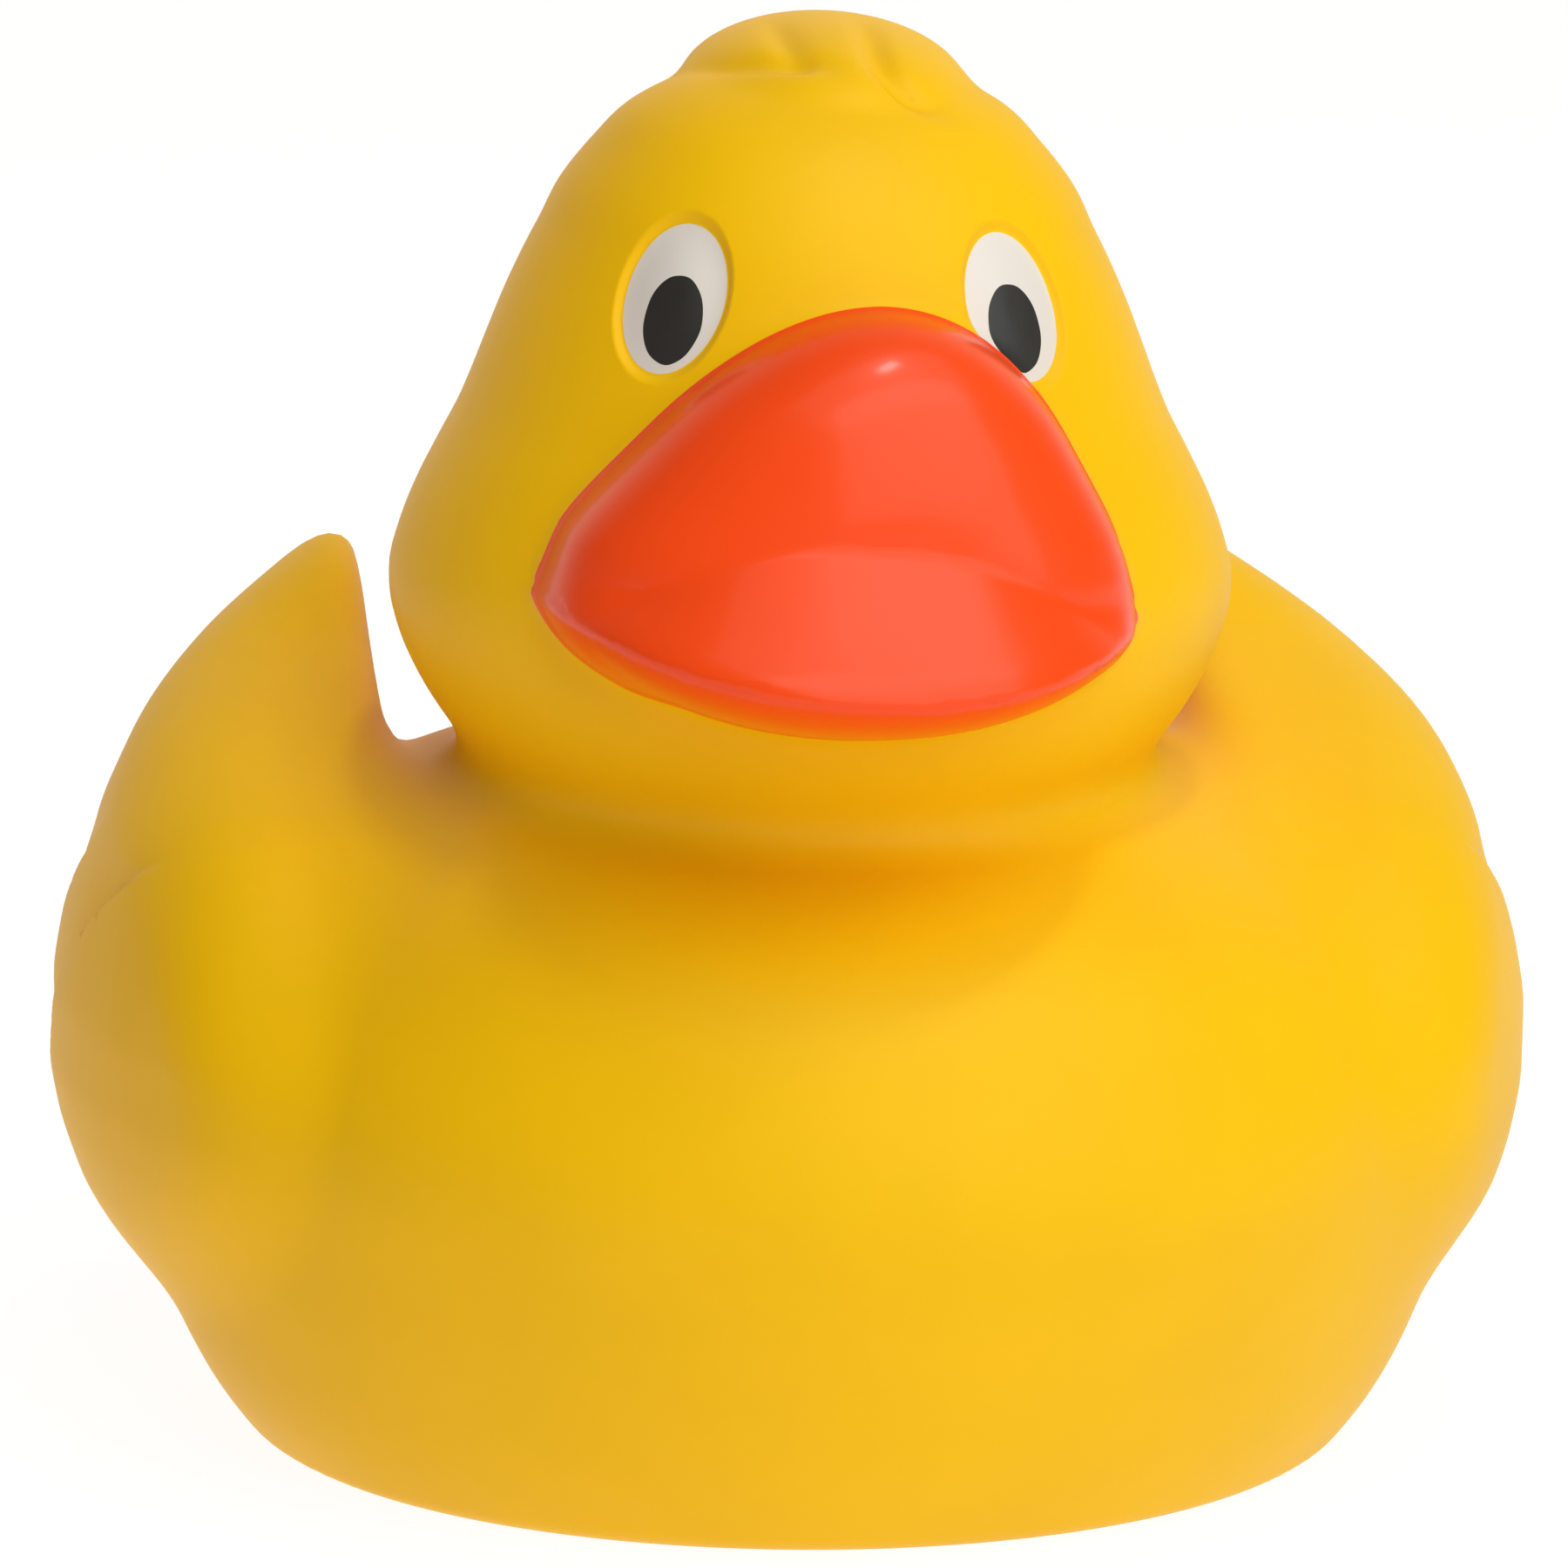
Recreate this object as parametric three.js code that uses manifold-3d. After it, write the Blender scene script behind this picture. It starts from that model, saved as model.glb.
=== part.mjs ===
// Squeaking bath duck: one hollow soft-vinyl shell and the small press-in squeaker in its base.
// Millimetres, +Z up. The duck looks along -Y, its tail points to +Y, +X is on its left-hand side.
import * as THREE from "three";
import Module from "manifold-3d";

// ---- driving dimensions -------------------------------------------------------------------
const WALL = 1.8; // wall of the shell
const FLOOR = 2.2; // thickness of the flat base
const BASE_EDGE = 1.3; // blend of the edge round the flat base
const CELL = 0.85; // sampling of the outer skin
const CELL_IN = 2.2; // sampling of the cavity
const SKIN_TRIANGLES = 7000;
const CAVITY_TRIANGLES = 1500;
const VENT_R = 5.0; // hole in the base for the squeaker
const SQUEAKER_R = 4.6,
  SQUEAKER_T = 1.8,
  SQUEAKER_RECESS = 0.3,
  SQUEAKER_BORE = 1.2;

// Levels below are measured from a datum under the flat base; the part is moved down by FLAT at the end.
const BASE = 3.6;
const FLAT = BASE + 0.34; // level of the flat base, cut across the blended edge

// head: a pear-shaped ball, half widths and half depths by level
const HEAD = { x: -0.4, y: -7.5, z: 55.0, up: 22.3, down: 22.0 };
const HEAD_W = [[28, 24.5], [36, 23.2], [40.4, 22.8], [42.3, 22.7], [44.4, 22.8], [46.5, 22.85], [48.6, 22.75], [50.7, 22.35], [52.6, 21.6], [54.85, 20.6], [57.1, 19.55], [59.35, 18.65], [61.6, 18.2], [63.85, 18.0], [66.1, 17.95], [68.35, 18.05], [70.6, 18.7], [72.84, 19.4], [75.1, 21.3], [78.2, 23.5]];
const HEAD_FRONT = [[28, 23], [38, 22.3], [44, 21.5], [50, 20.4], [56, 19.0], [61, 18.2], [66, 18.0], [70, 18.7], [75, 20.3], [78.2, 21.5]];
const HEAD_BACK = [[28, 23], [38, 23], [44, 22.5], [50, 21.6], [56, 20.6], [61, 20], [66, 19.6], [70, 19.8], [75, 21], [78.2, 22]];
// body: half width, front and rear reach, and the sideways centre line, by level
const BODY = { z: 21.0, up: 22.3, down: 32.0, saddle: 2.0 };
const BODY_W = [[2, 33.4], [5, 34.3], [7.1, 34.7], [9.2, 34.9], [11.4, 35.1], [16, 35.7], [21, 36.3], [30, 36.8], [44, 37]];
const BODY_FRONT = [[3.9, 35.0], [8, 35.8], [14, 36.8], [21, 38.0], [28, 38.8], [36, 41.0], [45, 41.0]];
const BODY_REAR = [[3.9, 37.0], [10, 39.5], [21, 41.0], [30, 41], [45, 39]];
const BODY_Y = [[3.9, -4.0], [9, -3.2], [14, -1.6], [20, 0.0], [45, 0.0]];
// wings: outline seen from the side (y, z), half span of the outer face by level, inner face
const WING_OUTLINE = [[-12.5, 37.2], [-19.5, 32], [-23, 26], [-22.5, 20.5], [-17, 15.5], [-6, 12.6], [6, 12.6], [15, 16], [21.5, 22], [25.0, 29], [26.2, 37], [24.4, 45.2], [21.2, 48.7], [17.0, 47.6], [9, 44.2], [-2, 40.9]];
const WING_W = [[6, 33.0], [10, 34.7], [11.8, 35.6], [14.7, 36.9], [17.5, 38.1], [20.4, 39.0], [23.2, 39.4], [26.1, 39.4], [28.9, 39.0], [31.8, 38.2], [34.6, 37.1], [37.4, 35.9], [40.3, 34.5], [43.1, 32.7], [46, 30.3], [50, 27.0], [54, 24]];
const WING = { bow: 0.0125, y: 2.0, inner: 21.5, round: 5.0, left: 0.9 };
const FEATHER = [[10, 1.0], [14, 2.6], [18, 3.4], [22, 3.0], [25, 1.5], [28.5, -1.0], [30.5, -3.0], [34, -7.3], [37, -11.5], [42, -19]];
const FEATHER_ROWS = [0.0, 9.0, 17.0],
  FEATHER_STEP = 0.6;
// tail: a flattened spindle that rises to the back on the centre plane
const TAIL = { y: 30.0, z: 25.0, rise: (38 * Math.PI) / 180, tip: 26.0, root: 22.0 };
// bill: a domed upper half with a rounded triangular rim (angle from the top, radius), over a flared sloping shelf
const BILL = { x: -0.9, z: 56.0, tilt: (2.6 * Math.PI) / 180, lean: 0.12 };
const BILL_TOP = { y: -23.2, z: 54.0, front: 8.7, back: 14.0, power: 2.4 };
const BILL_RIM = [[-40, 12.6], [0, 12.6], [20, 12.3], [40, 12.0], [58, 12.1], [72, 12.7], [84, 13.9], [95, 14.9], [112, 14.2], [135, 10.8], [160, 7.6], [180, 6.8], [220, 6.8]];
const SHELF = { y: -19.0, z: 49.5, rise: 2.2, w: 15.3, front: 17.9, back: 12.0, power: 2.3, slope: 25.0, bend: 1.08, cap: 0.3, down: 4.4 };
// tuft: one smooth cap with three grooves (x, y) between its locks
const TUFT = { x: 0.35, y: -4.0, z: 75.0, rx: 7.5, ry: 11.0, rz: 4.0 };
const GROOVES = [
  [[-1.2, 4.0], [-2.2, -2.0], [-2.45, -6.2], [-2.1, -10.6], [-1.0, -12.3], [1.0, -13.6]],
  [[2.6, 4.0], [2.2, -2.0], [2.0, -8.0], [2.1, -12.0], [3.4, -13.8], [6.2, -14.4]],
  [[-8.2, -2.0], [-7.0, -5.0], [-5.4, -8.8], [-2.6, -11.4], [-1.0, -12.2]],
];
const GROOVE_DEPTH = [0.38, 0.6, 0.4],
  GROOVE_W = 0.8;
// eyes: shallow oval recesses with a slightly domed middle
const EYE = { x: 8.9, y: -20.3, z: 66.65, n: [0.51, -0.767, 0.39], a: 2.85, b: 3.95, depth: 0.36, shift: -0.5 };

// ---- helpers ------------------------------------------------------------------------------
const smin = (a, b, k) => {
  const h = Math.max(k - Math.abs(a - b), 0) / k;
  return Math.min(a, b) - h * h * k * 0.25;
};
const smax = (a, b, k) => -smin(-a, -b, k);
const step = (a, b, t) => {
  const u = Math.min(Math.max((t - a) / (b - a), 0), 1);
  return u * u * (3 - 2 * u);
};
// monotone cubic through a table of [level, value]
function curve(table) {
  const n = table.length,
    xs = table.map((p) => p[0]),
    ys = table.map((p) => p[1]),
    d = [],
    m = [];
  for (let i = 0; i < n - 1; i++) d.push((ys[i + 1] - ys[i]) / (xs[i + 1] - xs[i]));
  for (let i = 0; i < n; i++)
    m.push(i === 0 ? d[0] : i === n - 1 ? d[n - 2] : d[i - 1] * d[i] <= 0 ? 0 : (2 * d[i - 1] * d[i]) / (d[i - 1] + d[i]));
  return (t) => {
    if (t <= xs[0]) return ys[0];
    if (t >= xs[n - 1]) return ys[n - 1];
    let i = 0;
    while (t >= xs[i + 1]) i++;
    const h = xs[i + 1] - xs[i],
      u = (t - xs[i]) / h,
      v = 1 - u;
    return (1 + 2 * u) * v * v * ys[i] + u * v * v * h * m[i] + u * u * (3 - 2 * u) * ys[i + 1] + u * u * (u - 1) * h * m[i + 1];
  };
}
// the same curve with its bends softened: three passes of a running mean over a fine table
function softCurve(table, width) {
  const f = curve(table),
    n = 2001,
    a = table[0][0],
    b = table[table.length - 1][0],
    half = Math.floor(width / 2);
  let v = Array.from({ length: n }, (_, i) => f(a + ((b - a) * i) / (n - 1)));
  for (let pass = 0; pass < 3; pass++) {
    const sum = [0];
    const at = (i) => v[Math.min(Math.max(i, 0), n - 1)];
    for (let i = -half; i < n + half; i++) sum.push(sum[sum.length - 1] + at(i));
    v = v.map((_, i) => (sum[i + 2 * half + 1] - sum[i]) / (2 * half + 1));
  }
  return (t) => {
    const q = Math.min(Math.max(((t - a) / (b - a)) * (n - 1), 0), n - 1),
      i = Math.min(Math.floor(q), n - 2);
    return v[i] + (q - i) * (v[i + 1] - v[i]);
  };
}
// smooth open line through points, four steps a span
function bend(points) {
  const p = [points[0], ...points, points[points.length - 1]],
    out = [];
  for (let i = 1; i < p.length - 2; i++)
    for (let j = 0; j < 4; j++) {
      const t = j / 4;
      out.push([0, 1].map((k) => 0.5 * (2 * p[i][k] + (p[i + 1][k] - p[i - 1][k]) * t + (2 * p[i - 1][k] - 5 * p[i][k] + 4 * p[i + 1][k] - p[i + 2][k]) * t * t + (-p[i - 1][k] + 3 * p[i][k] - 3 * p[i + 1][k] + p[i + 2][k]) * t * t * t)));
    }
  out.push(p[p.length - 1]);
  return out;
}
// closed Catmull-Rom loop, four points a span
function loop(points) {
  const n = points.length,
    out = [];
  for (let i = 0; i < n; i++) {
    const [p0, p1, p2, p3] = [-1, 0, 1, 2].map((k) => points[(i + k + n) % n]);
    for (let j = 0; j < 4; j++) {
      const t = j / 4;
      out.push([0, 1].map((k) => 0.5 * (2 * p1[k] + (p2[k] - p0[k]) * t + (2 * p0[k] - 5 * p1[k] + 4 * p2[k] - p3[k]) * t * t + (-p0[k] + 3 * p1[k] - 3 * p2[k] + p3[k]) * t * t * t)));
    }
  }
  return out;
}
// signed distance to a closed outline, negative inside
function outline(points) {
  return (y, z) => {
    let d = 1e9,
      s = 1;
    for (let i = 0, j = points.length - 1; i < points.length; j = i++) {
      const [ax, ay] = points[i],
        [bx, by] = points[j],
        ex = bx - ax,
        ey = by - ay,
        wx = y - ax,
        wy = z - ay,
        t = Math.min(Math.max((wx * ex + wy * ey) / (ex * ex + ey * ey), 0), 1),
        qx = wx - ex * t,
        qy = wy - ey * t;
      d = Math.min(d, qx * qx + qy * qy);
      const c1 = z >= ay,
        c2 = z < by,
        c3 = ex * wy > ey * wx;
      if ((c1 && c2 && c3) || (!c1 && !c2 && !c3)) s = -s;
    }
    return s * Math.sqrt(d);
  };
}
// a shape function divided by the length of its gradient, close to a distance near the surface
const H = 0.05;
function even(g) {
  return (x, y, z) => {
    const g0 = g(x, y, z),
      gx = (g(x + H, y, z) - g0) / H,
      gy = (g(x, y + H, z) - g0) / H,
      gz = (g(x, y, z + H) - g0) / H;
    return g0 / Math.sqrt(gx * gx + gy * gy + gz * gz + 1e-6);
  };
}

// ---- the shapes ---------------------------------------------------------------------------
const headW = curve(HEAD_W),
  headF = curve(HEAD_FRONT),
  headB = curve(HEAD_BACK);
const head = even((x, y, z) => {
  const Z = (z - HEAD.z) / (z > HEAD.z ? HEAD.up : HEAD.down),
    Y = y - HEAD.y,
    X = (x - HEAD.x) / headW(z),
    V = Y / (Y < 0 ? headF(z) : headB(z));
  return Math.sqrt(X * X + V * V + Z * Z + 1e-9) - 1;
});
const bodyW = curve(BODY_W),
  bodyF = curve(BODY_FRONT),
  bodyR = curve(BODY_REAR),
  bodyY = curve(BODY_Y);
const body = even((x, y, z) => {
  const Z = (z - BODY.z) / (z > BODY.z ? BODY.up - BODY.saddle * step(-8, 20, y) : BODY.down),
    yc = bodyY(z),
    L = y < yc ? bodyF(z) + yc : bodyR(z) - yc,
    X = x / bodyW(z),
    Y = (y - yc) / L;
  return Math.sqrt(X * X + Y * Y + Z * Z + 1e-9) - 1;
});
const wingOutline = outline(loop(WING_OUTLINE)),
  wingW = curve(WING_W),
  feather = curve(FEATHER);
function wing(x, y, z) {
  const ax = Math.abs(x);
  let o = (ax - (wingW(z) + (x > 0 ? WING.left * step(34, 44, z) : 0) - WING.bow * (y - WING.y) ** 2)) * 0.93;
  const s = y - feather(z);
  for (const row of FEATHER_ROWS) {
    const t = s - row * (1 + 0.02 * (z - 25));
    o += FEATHER_STEP * step(40, 35.5, z) * step(-0.35, 0.35, t) * Math.exp(-Math.max(t, 0) / 5);
  }
  return smax(smax(wingOutline(y, z), o, WING.round), WING.inner - ax, 3);
}
const tail = even((x, y, z) => {
  const c = Math.cos(TAIL.rise),
    n = Math.sin(TAIL.rise),
    s = (y - TAIL.y) * c + (z - TAIL.z) * n;
  let q = -(y - TAIL.y) * n + (z - TAIL.z) * c;
  q -= 0.006 * s * Math.abs(s);
  const L = s > 0 ? TAIL.tip : TAIL.root,
    rq = Math.min(Math.max(9 - 0.16 * s, 3), 14),
    rx = Math.min(Math.max(13 - 0.14 * s, 6), 20);
  return Math.sqrt((s / L) ** 2 + (q / rq) ** 2 + (x / rx) ** 2 + 1e-9) - 1;
});
const billRim = softCurve(BILL_RIM, 101);
// the bill and the eyes share a frame that leans a little to one side
const cosTilt = Math.cos(BILL.tilt),
  sinTilt = Math.sin(BILL.tilt);
const frameX = (x, z) => (x - BILL.x) * cosTilt - (z - BILL.z) * sinTilt,
  frameZ = (x, z) => BILL.z + (x - BILL.x) * sinTilt + (z - BILL.z) * cosTilt;
const billTop = even((x, y, z) => {
  const t = BILL_TOP,
    level = frameZ(x, z),
    X = frameX(x, z) - BILL.lean * Math.max(level - 55, 0),
    Z = level - t.z,
    q = Math.sqrt(X * X + Z * Z + 0.01) / billRim((Math.atan2(Math.sqrt(X * X + 0.3) - 0.5, Z) * 180) / Math.PI),
    Y = (y - t.y) / (y < t.y ? t.front : t.back);
  return (q ** t.power + Math.abs(Y) ** t.power + 1e-9) ** (1 / t.power) - 1;
});
const shelf = even((x, y, z) => {
  const t = SHELF,
    X = frameX(x, z),
    Z = frameZ(x, z),
    Y = (y - t.y) / (y < t.y ? t.front : t.back),
    q = (Math.abs(X / t.w) ** t.power + Math.abs(Y) ** t.power + 1e-9) ** (1 / t.power),
    rim = t.z + t.rise * (X / 15) ** 2,
    low = Math.sqrt(q * q + (Math.min(Z - rim, 0) / t.down) ** 2) - 1,
    over = (Z - rim - t.slope * Math.min(Math.max(1 - q, 0), t.cap) ** t.bend) / 15;
  return smax(low, over, 0.06);
});
const bill = (x, y, z) => smin(billTop(x, y, z), shelf(x, y, z), 0.4 + 1.0 * step(10.5, 14.5, Math.abs(frameX(x, z))));
const cap = even((x, y, z) => Math.sqrt(((x - TUFT.x) / TUFT.rx) ** 2 + ((y - TUFT.y) / TUFT.ry) ** 2 + ((z - TUFT.z) / TUFT.rz) ** 2 + 1e-9) - 1);
const grooveLines = GROOVES.map(bend);
function groove(x, y, line) {
  let best = 1e9,
    along = 0;
  const n = line.length - 1;
  for (let i = 0; i < n; i++) {
    const [ax, ay] = line[i],
      ex = line[i + 1][0] - ax,
      ey = line[i + 1][1] - ay,
      l = ex * ex + ey * ey;
    if (l < 1e-12) continue;
    const t = Math.min(Math.max(((x - ax) * ex + (y - ay) * ey) / l, 0), 1),
      q = (x - ax - ex * t) ** 2 + (y - ay - ey * t) ** 2;
    if (q < best) {
      best = q;
      along = (i + t) / n;
    }
  }
  return Math.exp(-best / (GROOVE_W * GROOVE_W)) * step(0.15, 0.6, along) * step(1.0, 0.7, along);
}
const eyeN = new THREE.Vector3(...EYE.n).normalize(),
  eyeT = new THREE.Vector3(0, 0, 1).cross(eyeN).normalize(),
  eyeB = eyeN.clone().cross(eyeT);
function eyes(x, y, z) {
  const px = Math.abs(frameX(x, z) - EYE.shift) - EYE.x,
    py = y - EYE.y,
    pz = frameZ(x, z) - EYE.z,
    u = px * eyeT.x + py * eyeT.y + pz * eyeT.z,
    v = px * eyeB.x + py * eyeB.y + pz * eyeB.z,
    w = px * eyeN.x + py * eyeN.y + pz * eyeN.z,
    r = Math.sqrt((u / EYE.a) ** 2 + (v / EYE.b) ** 2);
  return EYE.depth * step(1.18, 1.0, r) * (0.25 + 0.75 * step(0.2, 1.0, r)) * step(6, 3.5, Math.abs(w));
}
function skin(x, y, z) {
  let d = smin(body(x, y, z), tail(x, y, z), 9);
  d = smin(d, wing(x, y, z), 2.6);
  d = smin(d, head(x, y, z) + eyes(x, y, z), 3);
  if (z > 70) {
    d = smin(d, cap(x, y, z), 0.9);
    const near = step(70, 74, z);
    GROOVE_DEPTH.forEach((depth, i) => (d += depth * near * groove(x, y, grooveLines[i])));
  }
  if (y < -8 && z > 40) d = smin(d, bill(x, y, z), 0.8);
  return d;
}
// The cavity follows the body, tail, head and bill; the wings are solid outboard of the body's wall.
function hollow(x, y, z) {
  let d = smin(body(x, y, z), tail(x, y, z), 9);
  d = smin(d, head(x, y, z), 5);
  if (y < -8 && z > 40) d = smin(d, bill(x, y, z) + 0.6, 3);
  return d + WALL;
}
const outer = (x, y, z) => smax(skin(x, y, z), BASE - z, BASE_EDGE);
const inner = (x, y, z) => smax(hollow(x, y, z), BASE + FLOOR - z, 2.0);

// ---- surface of a field -------------------------------------------------------------------
// One vertex in each cell the surface crosses, pulled onto the surface; blocks far from it are skipped.
function surface(f, h, lo, hi) {
  const K = 4,
    n = [0, 1, 2].map((i) => Math.ceil((hi[i] - lo[i]) / h / K) * K + 1),
    at = (i, j, k) => (k * n[1] + j) * n[0] + i,
    F = new Float32Array(n[0] * n[1] * n[2]).fill(NaN);
  const reach = h * K * 0.9 + 1.2;
  for (let k = 0; k < n[2] - 1; k += K)
    for (let j = 0; j < n[1] - 1; j += K)
      for (let i = 0; i < n[0] - 1; i += K) {
        const c = f(lo[0] + (i + K / 2) * h, lo[1] + (j + K / 2) * h, lo[2] + (k + K / 2) * h);
        const far = Math.abs(c) > reach * 1.6;
        for (let c2 = k; c2 <= k + K; c2++)
          for (let b = j; b <= j + K; b++)
            for (let a = i; a <= i + K; a++) {
              const q = at(a, b, c2);
              if (far) {
                if (Number.isNaN(F[q])) F[q] = c;
              } else if (Number.isNaN(F[q]) || Math.abs(F[q]) > reach * 1.6) F[q] = f(lo[0] + a * h, lo[1] + b * h, lo[2] + c2 * h);
            }
      }
  const cell = new Map(),
    pos = [];
  const corner = [[0, 0, 0], [1, 0, 0], [0, 1, 0], [1, 1, 0], [0, 0, 1], [1, 0, 1], [0, 1, 1], [1, 1, 1]];
  const edge = [[0, 1], [2, 3], [4, 5], [6, 7], [0, 2], [1, 3], [4, 6], [5, 7], [0, 4], [1, 5], [2, 6], [3, 7]];
  for (let k = 0; k < n[2] - 1; k++)
    for (let j = 0; j < n[1] - 1; j++)
      for (let i = 0; i < n[0] - 1; i++) {
        const v = corner.map(([a, b, c]) => F[at(i + a, j + b, k + c)]);
        let inside = 0;
        for (const t of v) if (t < 0) inside++;
        if (inside === 0 || inside === 8) continue;
        let s = [0, 0, 0],
          m = 0;
        for (const [a, b] of edge)
          if (v[a] < 0 !== v[b] < 0) {
            const t = v[a] / (v[a] - v[b]);
            for (let q = 0; q < 3; q++) s[q] += corner[a][q] + t * (corner[b][q] - corner[a][q]);
            m++;
          }
        let p = [lo[0] + (i + s[0] / m) * h, lo[1] + (j + s[1] / m) * h, lo[2] + (k + s[2] / m) * h];
        for (let r = 0; r < 2; r++) {
          const e = 0.08,
            f0 = f(...p),
            g = [(f(p[0] + e, p[1], p[2]) - f0) / e, (f(p[0], p[1] + e, p[2]) - f0) / e, (f(p[0], p[1], p[2] + e) - f0) / e],
            g2 = Math.max(g[0] * g[0] + g[1] * g[1] + g[2] * g[2], 0.3),
            t = Math.max(Math.min(f0 / g2, 0.3 * h), -0.3 * h);
          p = p.map((c, q) => c - t * g[q]);
        }
        cell.set(at(i, j, k), pos.length);
        pos.push(p);
      }
  const faces = [];
  const quad = (a, b, c, d, flip) => {
    if (flip) [b, d] = [d, b];
    const l = (p, q) => (pos[p][0] - pos[q][0]) ** 2 + (pos[p][1] - pos[q][1]) ** 2 + (pos[p][2] - pos[q][2]) ** 2;
    if (l(a, c) < l(b, d)) faces.push([a, b, c], [a, c, d]);
    else faces.push([a, b, d], [b, c, d]);
  };
  for (let k = 1; k < n[2] - 1; k++)
    for (let j = 1; j < n[1] - 1; j++)
      for (let i = 1; i < n[0] - 1; i++) {
        const v = F[at(i, j, k)] < 0;
        const g = (a, b, c) => cell.get(at(a, b, c));
        if (v !== F[at(i + 1, j, k)] < 0) quad(g(i, j - 1, k - 1), g(i, j, k - 1), g(i, j, k), g(i, j - 1, k), !v);
        if (v !== F[at(i, j + 1, k)] < 0) quad(g(i - 1, j, k - 1), g(i - 1, j, k), g(i, j, k), g(i, j, k - 1), !v);
        if (v !== F[at(i, j, k + 1)] < 0) quad(g(i - 1, j - 1, k), g(i, j - 1, k), g(i, j, k), g(i - 1, j, k), !v);
      }
  return { pos, faces };
}

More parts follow.
